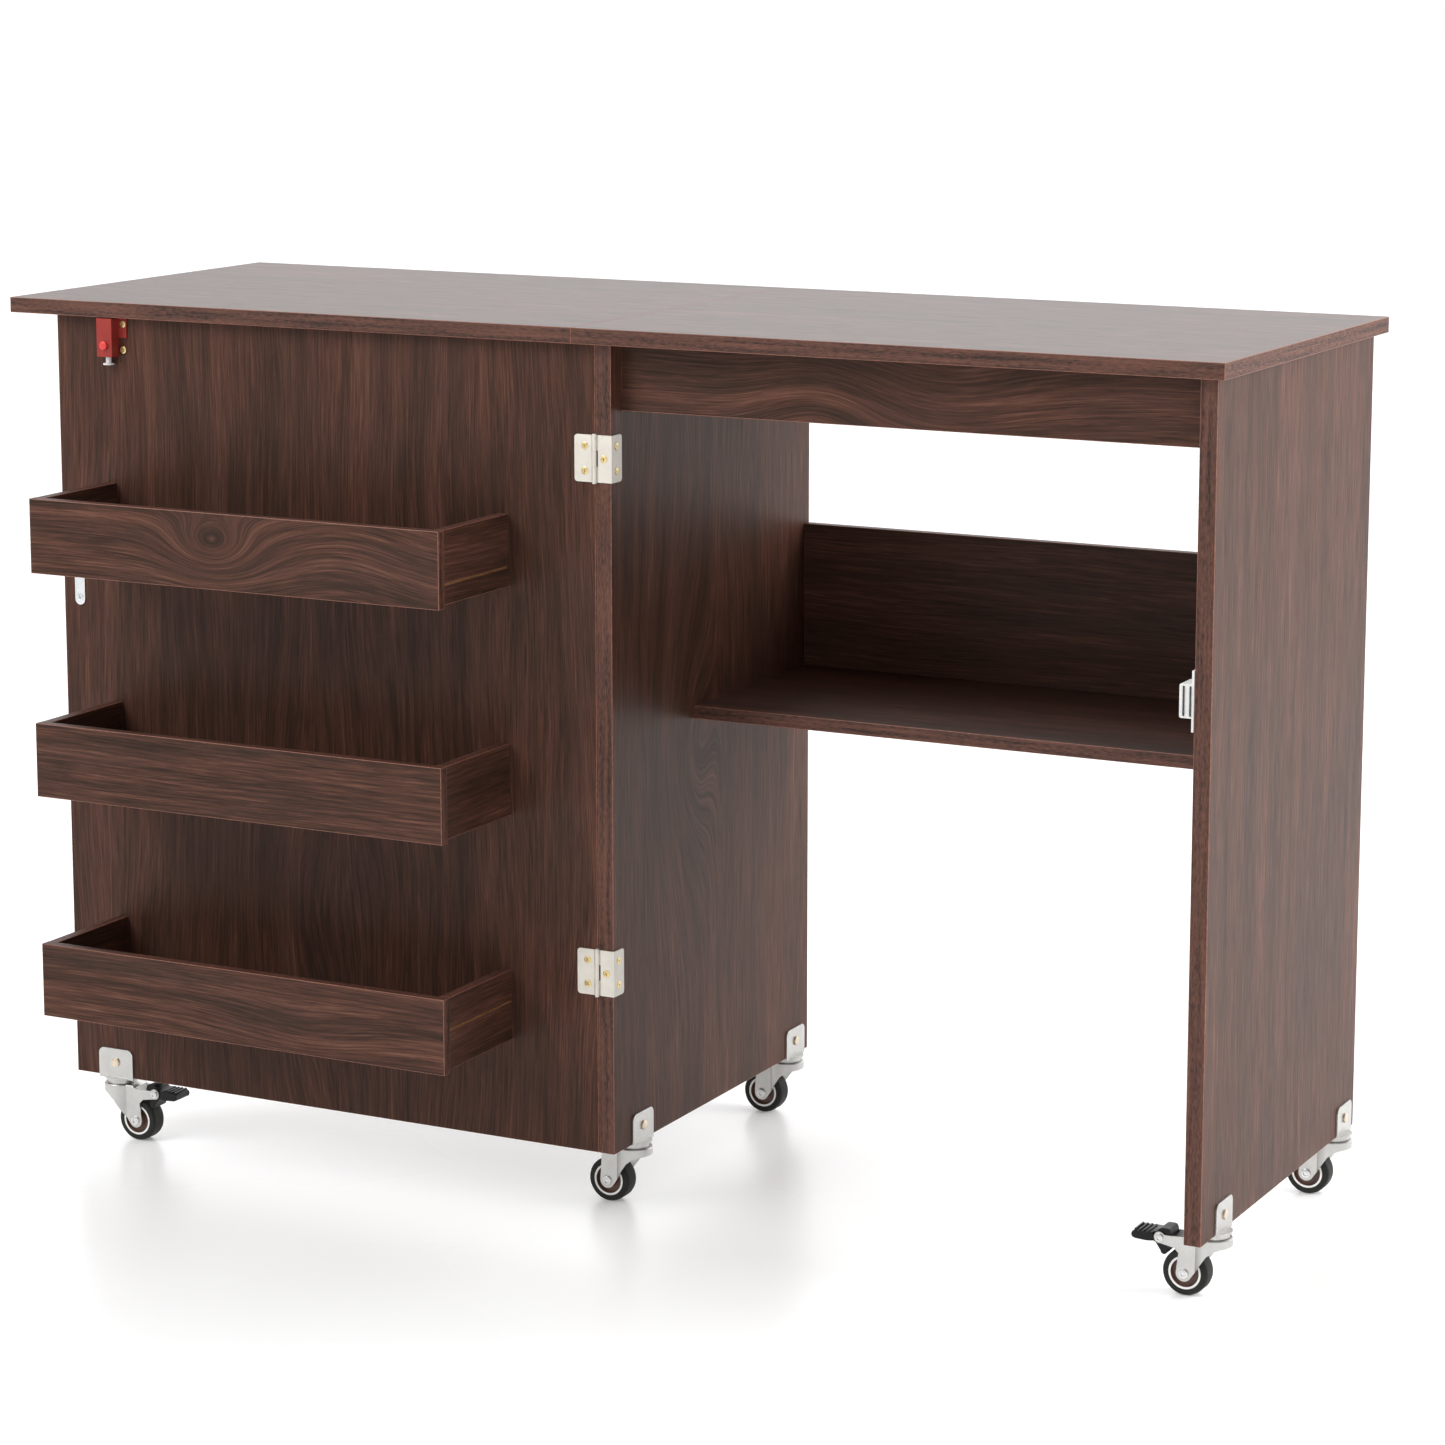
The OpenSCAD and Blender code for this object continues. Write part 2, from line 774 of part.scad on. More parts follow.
module hub() {
    h = wheel_w / 2 - 0.2;
    web = wheel_w / 2 - 4.5;
    color([0.33, 0.2, 0.15])
        turned([[axle_r + fit, -h - 0.4], [boss_r, -h - 0.4], [boss_r + 0.6, -web],
                [rim_r - rim_t - 0.6, -web], [rim_r - rim_t, -h], [rim_r, -h],
                [rim_r, h], [rim_r - rim_t, h], [rim_r - rim_t - 0.6, web],
                [boss_r + 0.6, web], [boss_r, h + 0.4], [axle_r + fit, h + 0.4]]);
}

module tyre() {
    h = wheel_w / 2;
    r = wheel_d / 2;
    color([0.14, 0.14, 0.13])
        turned([[rim_r, -h], [r - 2.4, -h], [r - 1.1, -h + 0.5], [r - 0.3, -h + 1.6],
                [r, -h + 3.2], [r, h - 3.2], [r - 0.3, h - 1.6], [r - 1.1, h - 0.5],
                [r - 2.4, h], [rim_r, h]]);
}

// The brake pedal between the fork's arms, with its shoe over the tyre
module pedal() {
    color([0.1, 0.1, 0.1]) difference() {
        union() {
            rotate([90, 0, 0]) linear_extrude(2 * pedal_half, center = true) {
                polygon([[33.5, 49], [34.3, 53.2], [35.2, 55.4], [36.8, 56.2], [42.6, 56.2],
                         [44.4, 55.2], [47.5, 52.4], [51, 51.8], [51, 44.2], [48, 43], [43.3, 36],
                         [38.5, 34.3], [37.2, 37.5], [38.5, 42], [35.5, 46]]);
                translate([40.5, 36.5]) circle(r = 3);
            }
            rotate([90, 0, 0]) linear_extrude(2 * paddle_half, center = true)
                polygon([[50, 51.8], [66, 51.2], [68.5, 49.9], [69.4, 47.4], [68.5, 45.2],
                         [66, 44.2], [56, 43.6], [50, 44.2]]);
            for (x = [54:4:66])
                block([x - 0.8, -paddle_half + 1, 50], [x + 0.8, paddle_half - 1, 52.4]);
        }
        pin_y(pedal_x, -20, 20, pedal_z, pedal_pin_r + fit);
    }
}

fixed_top();
mid_panel();
leg_panel();
apron();
shelf();
shelf_rail();
cam_fittings();
top_dowels();
catch_case();
catch_poles();
frame_hinge_leaves();
hinge_pins();
frame_screws();
top_hinge_barrels();
frame_caster_plates();
frame_caster_bolts();
flip_leaf();
leaf_hinge_barrels();
gate_panel();
bin_front(0);  // lower_bin_front
bin_sides(0);  // lower_bin_sides
bin_bottom(0);  // lower_bin_bottom
bin_front(1);  // middle_bin_front
bin_sides(1);  // middle_bin_sides
bin_bottom(1);  // middle_bin_bottom
bin_front(2);  // upper_bin_front
bin_sides(2);  // upper_bin_sides
bin_bottom(2);  // upper_bin_bottom
bin_screws();
strike_plate();
latch_case();
gate_hinge_leaves();
gate_screws();
gate_caster_plate();
gate_caster_bolt();
latch_bolt();
latch_spring();
latch_button();
at_wheel(0) pedal();  // caster_1_pedal
at_wheel(3) pedal();  // caster_4_pedal
for (n = [0:4]) {
    braked = CASTERS[n][4];
    name = str("caster_", n + 1, "_");
    at_wheel(n) fork(braked);
    at_wheel(n) axle(braked);
    at_wheel(n) hub();
    at_wheel(n) tyre();
}
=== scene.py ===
"""Looks of the folding sewing table: refined boards and hardware, materials, studio and camera."""
import json
import math

import bmesh
import bpy
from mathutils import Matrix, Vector

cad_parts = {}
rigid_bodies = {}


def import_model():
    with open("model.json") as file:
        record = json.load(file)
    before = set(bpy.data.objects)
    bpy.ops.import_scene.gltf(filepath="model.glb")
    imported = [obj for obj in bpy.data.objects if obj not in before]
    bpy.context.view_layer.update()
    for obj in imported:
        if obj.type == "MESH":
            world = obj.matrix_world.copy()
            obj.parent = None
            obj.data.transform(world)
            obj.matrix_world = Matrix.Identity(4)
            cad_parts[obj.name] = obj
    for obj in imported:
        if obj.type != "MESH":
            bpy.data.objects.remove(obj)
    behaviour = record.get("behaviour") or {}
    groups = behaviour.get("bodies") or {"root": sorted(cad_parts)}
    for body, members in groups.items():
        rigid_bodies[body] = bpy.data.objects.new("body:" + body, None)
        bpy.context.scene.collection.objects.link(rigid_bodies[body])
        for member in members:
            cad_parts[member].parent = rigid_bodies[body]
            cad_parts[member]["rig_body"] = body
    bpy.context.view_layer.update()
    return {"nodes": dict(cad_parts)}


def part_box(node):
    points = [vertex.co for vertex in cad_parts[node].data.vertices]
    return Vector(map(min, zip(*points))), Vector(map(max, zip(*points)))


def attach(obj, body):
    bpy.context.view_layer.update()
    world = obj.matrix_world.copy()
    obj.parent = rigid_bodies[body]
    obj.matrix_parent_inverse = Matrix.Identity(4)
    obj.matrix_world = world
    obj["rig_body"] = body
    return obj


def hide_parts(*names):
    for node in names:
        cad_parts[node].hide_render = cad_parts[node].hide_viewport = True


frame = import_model()

MM = 0.001


# ---- Colours and node graphs ----

def srgb(red, green, blue):
    """A colour given as a screen shows it, from 0 to 255, as linear light."""
    def linear(value):
        value /= 255
        return value / 12.92 if value <= 0.04045 else ((value + 0.055) / 1.055) ** 2.4
    return (linear(red), linear(green), linear(blue), 1)


class Graph:
    """A material's nodes, with one short call for each kind of node."""

    def __init__(self, name, **shader):
        self.material = bpy.data.materials.new(name)
        self.material.use_nodes = True
        self.tree = self.material.node_tree
        self.shader = self.tree.nodes["Principled BSDF"]
        for socket, value in shader.items():
            self.shader.inputs[socket.replace("_", " ")].default_value = value

    def node(self, kind, inputs=(), **settings):
        made = self.tree.nodes.new("ShaderNode" + kind)
        for key, value in settings.items():
            setattr(made, key, value)
        for socket, value in dict(inputs).items():
            self.feed(made.inputs[socket], value)
        return made

    def feed(self, socket, value):
        if isinstance(value, bpy.types.NodeSocket):
            self.tree.links.new(value, socket)
        else:
            socket.default_value = value

    def to_shader(self, socket, value):
        self.feed(self.shader.inputs[socket], value)

    def math(self, operation, a, b=0.0, c=0.0):
        return self.node("Math", {0: a, 1: b, 2: c}, operation=operation).outputs[0]

    def point(self, x, y, z=0.0):
        return self.node("CombineXYZ", {0: x, 1: y, 2: z}).outputs[0]

    def noise(self, vector, scale=1.0, detail=2.0, rough=0.5):
        return self.node("TexNoise", {"Vector": vector, "Scale": scale, "Detail": detail,
                                      "Roughness": rough}).outputs[0]

    def stretched(self, u, v, u_scale, v_scale, detail=2.0, rough=0.5):
        """Noise with its own number of features per metre along each of the two ways."""
        return self.noise(self.point(self.math("MULTIPLY", u, u_scale),
                                     self.math("MULTIPLY", v, v_scale)), 1.0, detail, rough)

    def blend(self, *parts):
        """Noises added up by weight, each about its own middle, round a middle of 0.5."""
        total = 0.5 - 0.5 * sum(weight for _, weight in parts)
        for noise, weight in parts:
            total = self.math("MULTIPLY_ADD", noise, weight, total)
        return total

    def fade(self, value, low, high, to_low=0.0, to_high=1.0):
        return self.node("MapRange", {0: value, 1: low, 2: high, 3: to_low, 4: to_high},
                         interpolation_type="SMOOTHSTEP").outputs[0]

    def mix(self, share, a, b):
        return self.node("Mix", {0: share, 6: a, 7: b}, data_type="RGBA").outputs[2]

    def ramp(self, value, stops):
        made = self.node("ValToRGB", {0: value})
        ramp = made.color_ramp
        while len(ramp.elements) < len(stops):
            ramp.elements.new(1)
        for element, (place, colour) in zip(ramp.elements, stops):
            element.position, element.color = place, colour
        return made.outputs[0]

    def bump(self, height, depth_mm, strength=1.0):
        made = self.node("Bump", {"Height": height, "Distance": depth_mm * MM,
                                  "Strength": strength})
        self.to_shader("Normal", made.outputs[0])

    def place(self):
        """A point on the piece, in metres."""
        return self.node("TexCoord").outputs["Object"]


# ---- Wood ----

GRAIN_MAP = "grain"        # metres across the grain and along it, from the board's corner
WALNUT = [(0.16, srgb(43, 29, 23)), (0.42, srgb(67, 45, 36)), (0.60, srgb(89, 58, 47)),
          (0.86, srgb(120, 82, 68))]
EDGE_BAND = [(0.25, srgb(46, 31, 26)), (0.45, srgb(82, 53, 43)), (0.75, srgb(108, 70, 57))]
# painted highlight colours for every board's rounded edges, lighter than the walnut
ARRIS_HIGHLIGHT = [(0.35, srgb(124, 80, 65)), (0.65, srgb(152, 101, 83))]


def grain_axes(g, offset):
    """The two grain coordinates, and the same two moved on to the board's own stretch."""
    parts = g.node("SeparateXYZ", {0: g.node("UVMap", uv_map=GRAIN_MAP).outputs[0]}).outputs
    moved = [g.math("ADD", parts[i], offset[i]) for i in (0, 1)]
    return parts[0], parts[1], *moved


def bell(g, u, v, centre, width, length):
    """1 at the centre and falling off smoothly around it, over width and length in metres."""
    du = g.math("DIVIDE", g.math("SUBTRACT", u, centre[0]), width)
    dv = g.math("DIVIDE", g.math("SUBTRACT", v, centre[1]), length)
    far = g.math("ADD", g.math("MULTIPLY", du, du), g.math("MULTIPLY", dv, dv))
    return g.math("EXPONENT", g.math("MULTIPLY", far, -1.0))


def laminate(name, offset, wander, bells=(), contrast=1.0, ring_scale=48.0, gloss=0.14):
    """Walnut print. The rings are bands of a height that rises across the board, wanders
    along it, and swells at each bell: (centre, width, length, swell), all in metres."""
    g = Graph(name, Specular_IOR_Level=gloss)
    u, v, mu, mv = grain_axes(g, offset)
    height = g.math("MULTIPLY_ADD", g.stretched(mu, mv, 5.0, 1.7), wander, mu)
    height = g.math("MULTIPLY_ADD", g.stretched(mu, mv, 30.0, 6.0), 0.002, height)
    for bell_shape in bells:
        height = g.math("MULTIPLY_ADD", bell(g, u, v, *bell_shape[:3]), bell_shape[3], height)

    rings = g.stretched(height, mv, ring_scale, 2.4)
    streaks = g.stretched(height, mv, 400.0, 9.0, rough=0.6)
    fibre = g.stretched(height, mv, 850.0, 24.0, detail=3.0, rough=0.7)
    flecks = g.stretched(height, mv, 700.0, 18.0)
    tone = g.blend((rings, 0.7 * contrast), (streaks, 0.7 * contrast), (fibre, 0.9 * contrast))
    base = g.ramp(tone, WALNUT)
    patch = g.stretched(mu, mv, 26.0, 5.0)
    base = g.mix(g.fade(patch, 0.42, 0.66, 0.0, 0.25), base, srgb(60, 47, 42))
    fleck = g.fade(flecks, 0.42, 0.3, 0.0, 0.55)
    g.to_shader("Base Color", g.mix(fleck, base, WALNUT[0][1]))
    g.to_shader("Roughness", g.fade(fibre, 0.3, 0.7, 0.46, 0.38))
    g.bump(g.math("SUBTRACT", fibre, fleck), 0.03, 0.4)
    return g.material


def edge_band():
    g = Graph("walnut_edge", Specular_IOR_Level=0.3)
    u, v, _, _ = grain_axes(g, (0.0, 0.0))
    across = g.math("MULTIPLY_ADD", g.stretched(u, v, 90.0, 45.0, detail=1.0), 0.003, u)
    lanes = g.stretched(across, v, 260.0, 9.0)
    dashes = g.stretched(across, v, 950.0, 150.0, detail=3.0, rough=0.65)
    tone = g.blend((lanes, 1.0), (dashes, 1.1))
    g.to_shader("Base Color", g.ramp(tone, EDGE_BAND))
    g.to_shader("Roughness", g.fade(dashes, 0.3, 0.7, 0.58, 0.45))
    g.bump(dashes, 0.05, 0.5)
    return g.material


def arris():
    """Painted highlight: the thin bright line where the edge strip meets a board's face, lighter
    than the walnut on every edge.
    """
    g = Graph("walnut_arris_highlight", Specular_IOR_Level=0.4)
    # noise that makes the painted highlight patchy in colour and gloss
    highlight_patches = g.noise(g.place(), scale=260.0)
    g.to_shader("Base Color", g.ramp(highlight_patches, ARRIS_HIGHLIGHT))
    g.to_shader("Roughness", g.fade(highlight_patches, 0.3, 0.7, 0.38, 0.5))
    return g.material


def board_core():
    """Raw pressed board inside bores and saw grooves."""
    g = Graph("board_core", Specular_IOR_Level=0.2)
    chips = g.noise(g.place(), scale=700.0, detail=3.0, rough=0.7)
    g.to_shader("Base Color", g.ramp(chips, [(0.3, srgb(160, 122, 66)), (0.7, srgb(222, 186, 116))]))
    g.to_shader("Roughness", g.fade(chips, 0.3, 0.7, 0.95, 0.8))
    g.bump(chips, 0.15, 0.6)
    return g.material


# ---- Metal and plastic ----

def painted(name, colour, rough, depth_mm=0.02, scale=900.0, shade=0.9, **shader):
    """A moulded or coated surface: faint mottling, fine grain and a slightly uneven gloss."""
    g = Graph(name, **shader)
    cloud = g.noise(g.place(), scale=60.0, detail=3.0)
    grain = g.noise(g.place(), scale=scale, detail=2.0)
    darker = tuple(part * shade for part in colour[:3]) + (1,)
    g.to_shader("Base Color", g.mix(g.fade(cloud, 0.3, 0.7), darker, colour))
    g.to_shader("Roughness", g.fade(cloud, 0.3, 0.7, rough * 0.85, rough * 1.15))
    g.bump(grain, depth_mm, 0.4)
    return g.material


def plated(name, colour, rough, brush=(1.0, 1.0, 1.0)):
    """Bare or plated metal with faint brushing along the direction that brush makes longest."""
    g = Graph(name, Metallic=1.0)
    parts = g.node("SeparateXYZ", {0: g.place()}).outputs
    vector = g.point(*[g.math("MULTIPLY", parts[i], brush[i]) for i in range(3)])
    lines = g.noise(vector, scale=900.0, detail=3.0, rough=0.6)
    cloud = g.noise(g.place(), scale=80.0, detail=2.0)
    darker = tuple(part * 0.92 for part in colour[:3]) + (1,)
    g.to_shader("Base Color", g.mix(g.fade(cloud, 0.25, 0.75), darker, colour))
    g.to_shader("Roughness", g.fade(lines, 0.25, 0.75, rough * 0.75, rough * 1.25))
    g.bump(lines, 0.01, 0.35)
    return g.material


MATERIALS = {
    "edge": edge_band(),
    "arris": arris(),
    "core": board_core(),
    "hinge_enamel": painted("hinge_enamel", srgb(230, 224, 213), 0.35, Coat_Weight=0.2),
    "brass": plated("brass", srgb(240, 216, 156), 0.38),
    "zinc": plated("zinc", srgb(226, 228, 230), 0.3, (1.0, 1.0, 0.2)),
    "caster_steel": plated("caster_steel", srgb(208, 207, 204), 0.36),
    "cream_bolt": plated("cream_bolt", srgb(232, 216, 196), 0.4),
    "nickel": plated("nickel", srgb(228, 228, 228), 0.25),
    "dark_steel": plated("dark_steel", srgb(88, 88, 90), 0.4, (1.0, 1.0, 0.15)),
    "red_plastic": painted("red_plastic", srgb(156, 52, 45), 0.5, Specular_IOR_Level=0.3),
    "red_button": painted("red_button", srgb(222, 62, 58), 0.35, Coat_Weight=0.2),
    "knob_white": painted("knob_white", srgb(232, 232, 230), 0.35),
    "white_plastic": painted("white_plastic", srgb(236, 236, 234), 0.42),
    "black_plastic": painted("black_plastic", srgb(14, 14, 14), 0.42, 0.06, 1400.0, 0.75,
                             Specular_IOR_Level=0.3),
    "hub_plastic": painted("hub_plastic", srgb(122, 92, 80), 0.5, 0.05, 500.0, 0.7),
    "hub_ring": painted("hub_ring", srgb(250, 249, 246), 0.3),
    "tyre": painted("tyre", srgb(34, 35, 31), 0.6, 0.05, 1200.0, 0.8, Specular_IOR_Level=0.3),
    "birch": painted("birch", srgb(206, 172, 122), 0.6, 0.1, 400.0, 0.8),
}


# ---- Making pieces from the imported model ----

SHARP = math.radians(32)    # edges that turn more than this are softened
ROUND_SIDES = 24            # a face with at least this many even corners counts as round


def add_piece(name, mesh, node, materials, smooth_under=35):
    """Puts a finished mesh in the scene in a node's place, on the body of that node."""
    for polygon in mesh.polygons:
        polygon.use_smooth = True
    mesh.set_sharp_from_angle(angle=math.radians(smooth_under))
    for material in materials:
        mesh.materials.append(material)
    piece = bpy.data.objects.new(name, mesh)
    bpy.context.scene.collection.objects.link(piece)
    piece.modifiers.new("flat_faces_stay_flat", "WEIGHTED_NORMAL").keep_sharp = True
    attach(piece, frame["nodes"][node]["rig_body"])
    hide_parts(node)


def welded(node, keep=None, whole=True):
    """The node's mesh as a bmesh. keep picks its vertices. Flat faces are made whole again."""
    bm = bmesh.new()
    bm.from_mesh(frame["nodes"][node].data)
    bmesh.ops.remove_doubles(bm, verts=bm.verts, dist=0.001 * MM)
    if keep:
        bmesh.ops.delete(bm, geom=[v for v in bm.verts if not keep(v.co)], context="VERTS")
    if whole:
        bmesh.ops.dissolve_limit(bm, angle_limit=math.radians(0.4), verts=bm.verts,
                                 edges=bm.edges)
    return bm


def finished_mesh(bm, name):
    mesh = bpy.data.meshes.new(name)
    bmesh.ops.recalc_face_normals(bm, faces=bm.faces)
    bm.to_mesh(mesh)
    bm.free()
    stale = mesh.attributes.get("custom_normal")
    if stale:
        mesh.attributes.remove(stale)
    return mesh


def bevel(bm, edges, width, segments=2, material=-1):
    bmesh.ops.bevel(bm, geom=edges, offset=width, offset_type="OFFSET", segments=segments,
                    profile=0.5, affect="EDGES", clamp_overlap=True, material=material)


def sharp_edges(bm):
    return [e for e in bm.edges if len(e.link_faces) == 2 and e.calc_face_angle(0) > SHARP]


def heads(bm):
    """The widest flat round faces, with their radii."""
    found = []
    for face in bm.faces:
        middle = face.calc_center_median()
        reach = [(v.co - middle).length for v in face.verts]
        if len(reach) >= ROUND_SIDES and max(reach) < 1.05 * min(reach):
            found.append((max(reach), face))
    widest = max(radius for radius, _ in found)
    return [(radius, face) for radius, face in found if radius > 0.7 * widest]


def inset(bm, face, width, rise):
    bmesh.ops.inset_individual(bm, faces=[face], thickness=width, depth=rise)


def domed(bm, radius, face):
    inset(bm, face, 0.28 * radius, 0.10 * radius)
    inset(bm, face, 0.28 * radius, 0.04 * radius)


def domed_in_front(bm, radius, face):
    if face.normal.y < 0:
        domed(bm, radius, face)


def riveted(bm, radius, face):
    """A rolled rim round a dimple with a low centre."""
    inset(bm, face, 0.14 * radius, 0.07 * radius)
    inset(bm, face, 0.24 * radius, 0.0)
    inset(bm, face, 0.12 * radius, -0.16 * radius)
    inset(bm, face, 0.16 * radius, 0.05 * radius)


def crossed(bm, radius, face, rise=0.09):
    """A low dome with a cross slot sunk into it."""
    inset(bm, face, 0.22 * radius, rise * radius)
    middle = face.calc_center_median()
    normal = face.normal.copy()
    ring = [loop.vert for loop in face.loops]
    quarter = len(ring) // 4
    ahead = (ring[0].co - middle).normalized()
    ways = [ahead, normal.cross(ahead), -ahead, -normal.cross(ahead)]
    arm, half, depth = 0.56 * radius, 0.11 * radius, 0.4 * radius
    slot = []
    for k, way in enumerate(ways):
        side = ways[(k + 1) % 4]
        slot += [way * arm - side * half, way * arm, way * arm + side * half, (way + side) * half]
    top = [bm.verts.new(middle + point) for point in slot]
    low = [bm.verts.new(middle + point * 0.6 - normal * depth) for point in slot]
    bmesh.ops.delete(bm, geom=[face], context="FACES_ONLY")
    for k in range(4):
        arc = [ring[(k * quarter + i) % len(ring)] for i in range(quarter + 1)]
        back = [top[(4 * k + i) % 16] for i in (5, 4, 3, 2, 1)]
        bm.faces.new(arc + back)
    for i in range(16):
        bm.faces.new([top[i], top[(i + 1) % 16], low[(i + 1) % 16], low[i]])
    bm.faces.new(low)


def crossed_flat(bm, radius, face):
    crossed(bm, radius, face, 0.0)


def refined(node, material, width=0.25 * MM, head=None, keep=None, name=None):
    """A piece of hardware with the node's own shape, softened edges and finished heads."""
    bm = welded(node, keep)
    bevel(bm, sharp_edges(bm), width)
    if head:
        for radius, face in heads(bm):
            head(bm, radius, face)
    name = name or node + "_fine"
    add_piece(name, finished_mesh(bm, name), node, [MATERIALS[material]])


# ---- Boards ----

X, Y, Z = range(3)
FACE, EDGE, CORNER, CORE = range(4)     # a board's materials, in the order of its slots
CORNER_WIDTH = 0.55 * MM
SHIFT_ALONG = 3.7           # how much further a shift moves the print along an edge than across
TOUCH = 0.01 * MM


def box_of(bm):
    corners = [[f(v.co[i] for v in bm.verts) for i in range(3)] for f in (min, max)]
    return Vector(corners[0]), Vector(corners[1])


def on_side(co, low, high, axis):
    return min(abs(co[axis] - low[axis]), abs(co[axis] - high[axis])) < TOUCH


def outer_edges(bm, low, high):
    """The edges that run along the box's own twelve edges."""
    return [e for e in bm.edges
            if sum(all(on_side(v.co, low, high, i) for v in e.verts) for i in range(3)) >= 2]


def board(name, node, grain, face_material, shift=0.0, keep=None):
    """A board with printed faces, edge strips and raw core in its bores. grain is the axis
    that its face's figure runs along, and shift tells its edge strips from other boards'."""
    bm = welded(node, keep)
    low, high = box_of(bm)
    size = high - low
    thin = min(range(3), key=lambda i: size[i])
    across = next(i for i in range(3) if i not in (thin, grain))
    # the rounded corners get the arris material, a painted highlight
    bevel(bm, outer_edges(bm, low, high), CORNER_WIDTH, 2, CORNER)
    bm.normal_update()
    grain_map = bm.loops.layers.uv.new(GRAIN_MAP)
    for face in bm.faces:
        facing = max(range(3), key=lambda i: abs(face.normal[i]))
        if all(on_side(v.co, low, high, facing) for v in face.verts):
            face.material_index = FACE if facing == thin else EDGE
        elif face.material_index != CORNER:
            face.material_index = CORE
        if facing == thin:
            ways, moved = (across, grain), 0.0
        else:
            ways, moved = sorted({X, Y, Z} - {facing}, key=lambda i: size[i]), shift
        for loop in face.loops:
            here = loop.vert.co - low
            loop[grain_map].uv = (here[ways[0]] + moved, here[ways[1]] + moved * SHIFT_ALONG)
    materials = [face_material, MATERIALS["edge"], MATERIALS["arris"], MATERIALS["core"]]
    add_piece(name, finished_mesh(bm, name), node, materials, smooth_under=20)


BOARDS = [
    # name, node, grain axis, contrast, gloss, how far the rings wander, swells of the figure
    ("top_half", "fixed_top", X, 0.8, 0.45, 0.03, ()),
    ("leaf_board", "flip_leaf", X, 0.8, 0.45, 0.03, ()),
    ("middle_upright", "mid_panel", Z, 0.8, 0.14, 0.06, [((0.14, 0.34), 0.05, 0.12, 0.05)]),
    ("right_upright", "leg_panel", Z, 0.8, 0.14, 0.02, ()),
    ("apron_board", "apron", X, 1.0, 0.14, 0.03, [((-0.01, 0.19), 0.06, 0.06, -0.03),
                                                  ((0.06, 0.30), 0.08, 0.09, 0.02)]),
    ("shelf_board", "shelf", X, 0.8, 0.27, 0.03, ()),
    ("rail_board", "shelf_rail", X, 0.8, 0.14, 0.03, ()),
    ("gate_board", "gate_panel", Z, 0.8, 0.14, 0.07, [((0.24, 0.20), 0.045, 0.20, 0.03)]),
]
BIN_BELLS = {
    "upper": [((0.036, 0.196), 0.026, 0.045, 0.045), ((0.05, 0.33), 0.05, 0.07, -0.02)],
    "middle": [],
    "lower": [((0.02, 0.28), 0.03, 0.08, 0.012)],
}


def all_boards():
    """Every board, each on a stretch of the print that no other board shows."""
    for number, (name, node, grain, contrast, gloss, wander, bells) in enumerate(BOARDS):
        wood = laminate("walnut_" + name, (0.83 * number + 0.2, 1.37 * number), wander, bells,
                        contrast, gloss=gloss)
        board(name, node, grain, wood, shift=0.11 * number)
    for number, (level, bells) in enumerate(BIN_BELLS.items()):
        start = 11.0 + 2.1 * number
        front = laminate(f"walnut_{level}_bin_front", (start, start * 0.7), 0.03, bells, 1.1, 85.0)
        plain = laminate(f"walnut_{level}_bin", (start + 0.9, start), 0.02)
        board(f"{level}_bin_face", f"{level}_bin_front", X, front, 2.0 + number)
        board(f"{level}_bin_floor", f"{level}_bin_bottom", X, plain, 2.3 + number)
        node = f"{level}_bin_sides"
        low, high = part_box(node)
        middle = (low.x + high.x) / 2
        board(f"{level}_bin_left_side", node, Y, plain, 2.5 + number, lambda co: co.x < middle)
        board(f"{level}_bin_right_side", node, Y, plain, 2.7 + number, lambda co: co.x > middle)


all_boards()


# ---- Hardware ----

REFINED = {
    # node: (material, width of the softened edge in mm, finish of its round heads)
    "catch_poles": ("dark_steel", 0.15, None),
    "frame_hinge_leaves": ("hinge_enamel", 0.2, None),
    "gate_hinge_leaves": ("hinge_enamel", 0.2, None),
    "hinge_pins": ("hinge_enamel", 0.1, domed),
    "top_hinge_barrels": ("brass", 0.2, None),
    "leaf_hinge_barrels": ("brass", 0.2, None),
    "top_dowels": ("birch", 0.3, None),
    "cam_fittings": ("zinc", 0.2, crossed),
    "strike_plate": ("zinc", 0.2, None),
    "latch_case": ("red_plastic", 0.3, None),
    "latch_bolt": ("knob_white", 0.3, None),
    "latch_button": ("red_button", 0.5, domed_in_front),
    "latch_spring": ("nickel", 0.0, None),
    "bin_screws": ("zinc", 0.15, crossed),
    "frame_caster_bolts": ("cream_bolt", 0.4, domed),
    "gate_caster_bolt": ("cream_bolt", 0.4, domed),
    "caster_1_pedal": ("black_plastic", 0.4, None),
    "caster_4_pedal": ("black_plastic", 0.4, None),
}
BEND_LENGTH = 32 * MM       # a caster plate's bends are longer than this, its other edges shorter
HUB_RING = 2.2 * MM         # width of the white ring on a hub's rim
CASTERS = range(1, 6)


def screws(node, is_plain):
    """The node's screws, brass but for the plain ones."""
    refined(node, "brass", 0.2 * MM, crossed, lambda co: not is_plain(co), node + "_brass")
    refined(node, "zinc", 0.2 * MM, crossed_flat, is_plain, node + "_zinc")


def rounded(node, material, is_rounded, rounding, softening):
    """A piece of hardware whose picked edges are rounded before all the others are softened.
    is_rounded picks them by the edge and the node's two corners."""
    bm = welded(node)
    low, high = box_of(bm)
    bevel(bm, [e for e in sharp_edges(bm) if is_rounded(e, low, high)], rounding, 4)
    bevel(bm, sharp_edges(bm), softening)
    name = node + "_fine"
    add_piece(name, finished_mesh(bm, name), node, [MATERIALS[material]])


def is_bend(edge, low, high):
    """Where a caster's tab turns under the board."""
    return edge.calc_length() > BEND_LENGTH and edge.is_convex


def is_cap_rim(edge, low, high):
    """The pressed rim round a fork's cap."""
    return all(abs(v.co.z - high.z) < TOUCH for v in edge.verts)


def is_catch_corner(edge, low, high):
    """The level edges of the catch's case on the side away from the leg."""
    start, end = [v.co for v in edge.verts]
    return max(start.x, end.x) - low.x < TOUCH and abs(start.z - end.z) < TOUCH


def caster_plates(node):
    rounded(node, "caster_steel", is_bend, 1.4 * MM, 0.2 * MM)


